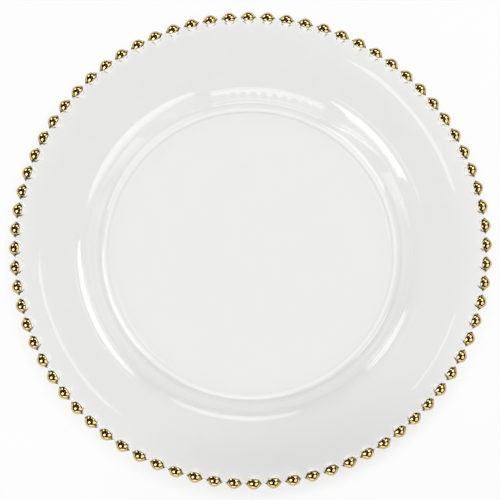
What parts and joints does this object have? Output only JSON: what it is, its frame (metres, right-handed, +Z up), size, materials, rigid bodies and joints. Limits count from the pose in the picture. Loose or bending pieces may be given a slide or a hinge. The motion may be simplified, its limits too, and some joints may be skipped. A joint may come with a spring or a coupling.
{
  "type": "charger plate",
  "caption": "Clear pressed-glass charger plate with a flat well, a broad rim and a beaded edge whose beads are plated in gold.",
  "frame": {"origin": "middle of the circle on which the foot ring stands", "axes": "+Z up along the plate's axis of symmetry; X and Y lie in the plane of the table"},
  "size_m": [0.33, 0.33, 0.0297],
  "materials": {
    "clear_glass": "fire-polished, colourless soda-lime glass",
    "gold_plating": "bright gold, mirror polished"
  },
  "bodies": {
    "root": {"well": "clear_glass", "foot_ring": "clear_glass", "side_wall": "clear_glass", "shoulder": "clear_glass", "rim": "clear_glass", "lip": "clear_glass", "glass_beads": "clear_glass", "gold_caps": "gold_plating"}
  },
  "joints": []
}
